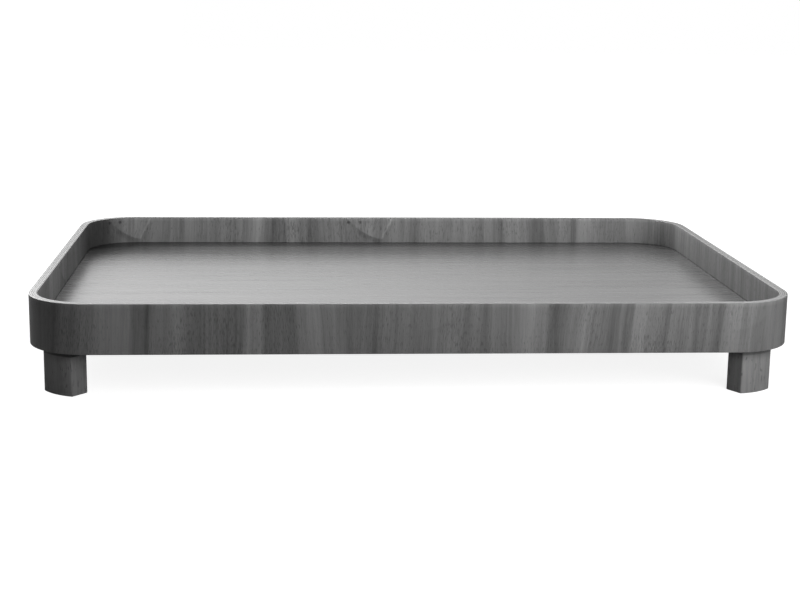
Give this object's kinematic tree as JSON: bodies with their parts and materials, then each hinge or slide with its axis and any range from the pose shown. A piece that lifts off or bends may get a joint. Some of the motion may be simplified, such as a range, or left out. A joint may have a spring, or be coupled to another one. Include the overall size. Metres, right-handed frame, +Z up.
{
  "type": "footed tray",
  "caption": "Rectangular serving tray with rounded corners: a bent laminated wooden rim round a recessed flat floor, raised on short block legs.",
  "frame": {"origin": "on the surface the legs stand on, under the middle of the tray", "axes": "+X along the tray's long side, +Y towards its rear side, +Z up"},
  "size_m": [0.48, 0.34, 0.0595],
  "materials": {
    "rim_veneer": "dark grey stain, satin lacquer, upright grain",
    "rim_ply": "stained ply edges, satin lacquer",
    "panel_veneer": "dark grey stain, satin lacquer, grain along the tray",
    "panel_core": "plain plywood core",
    "leg_wood": "dark grey stain, satin lacquer, upright grain",
    "dowel_wood": "bare beech"
  },
  "bodies": {
    "root": {"rim_outer_veneer": "rim_veneer", "rim_inner_veneer_upper": "rim_veneer", "rim_inner_veneer_lower": "rim_veneer", "rim_outer_ply": "rim_ply", "rim_middle_ply": "rim_ply", "rim_inner_ply": "rim_ply", "panel_top_veneer": "panel_veneer", "panel_bottom_veneer": "panel_veneer", "panel_core": "panel_core", "leg_front_left": "leg_wood", "leg_front_right": "leg_wood", "leg_rear_left": "leg_wood", "leg_rear_right": "leg_wood", "dowel_front_left_left": "dowel_wood", "dowel_front_left_right": "dowel_wood", "dowel_front_right_left": "dowel_wood", "dowel_front_right_right": "dowel_wood", "dowel_rear_left_left": "dowel_wood", "dowel_rear_left_right": "dowel_wood", "dowel_rear_right_left": "dowel_wood", "dowel_rear_right_right": "dowel_wood"}
  },
  "joints": []
}
